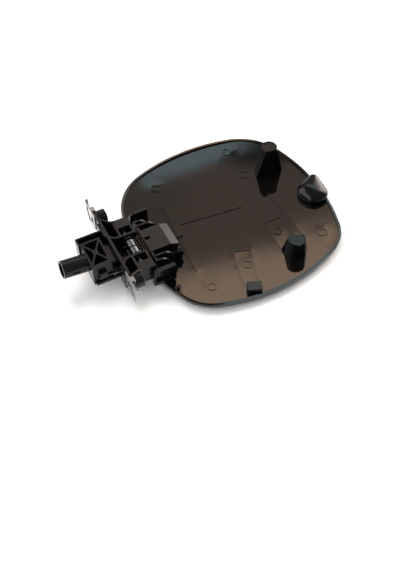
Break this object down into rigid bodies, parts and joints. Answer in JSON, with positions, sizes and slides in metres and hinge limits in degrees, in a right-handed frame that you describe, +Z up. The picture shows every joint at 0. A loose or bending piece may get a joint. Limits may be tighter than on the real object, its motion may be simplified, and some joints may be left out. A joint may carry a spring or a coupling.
{
  "type": "fuel door",
  "caption": "Car fuel door lying open on its outer face: crowned rounded-square panel, cap posts, gooseneck arm and a screw-on hinge bracket.",
  "frame": {"origin": "on the table under the middle of the whole part's outer box", "axes": "+X from the mounting flange along the door to its free edge, +Y across the door, +Z up from the table, so the door's outer face looks down"},
  "size_m": [0.2655, 0.1882, 0.04],
  "materials": {
    "door_plastic": "moulded gloss black with a warm brown cast",
    "post_plastic": "smooth deep black moulded plastic",
    "hinge_plastic": "satin black moulded plastic",
    "black_rubber": "dull black rubber",
    "bright_steel": "bright drawn steel",
    "zinc_plate": "bluish zinc plated sheet and wire"
  },
  "bodies": {
    "bracket": {"hinge_bracket": "hinge_plastic", "ribbed_housing": "hinge_plastic", "spigot": "hinge_plastic", "nut_clip_upper": "zinc_plate", "nut_clip_lower": "zinc_plate", "captive_nuts": "zinc_plate", "screw_sleeves": "zinc_plate", "hinge_pin": "bright_steel", "pin_ring": "bright_steel", "pin_bushes": "bright_steel", "torsion_spring": "zinc_plate", "stop_pads": "black_rubber"},
    "door": {"door_panel": "door_plastic", "cap_post_upper": "post_plastic", "cap_post_lower": "post_plastic", "latch_catch": "post_plastic", "rim_buffer": "black_rubber", "rim_hook": "hinge_plastic", "hinge_arm": "hinge_plastic", "arm_cover": "hinge_plastic", "arm_lock_tongue": "hinge_plastic", "release_peg": "hinge_plastic", "side_clip_upper": "hinge_plastic", "side_clip_lower": "hinge_plastic"}
  },
  "joints": [
    {"name": "door_hinge", "type": "hinge", "parent": "bracket", "child": "door", "pos_m": [-0.06604, -0.007, 0.024], "axis": [0, -1, 0], "range_deg": [0, 90]}
  ]
}
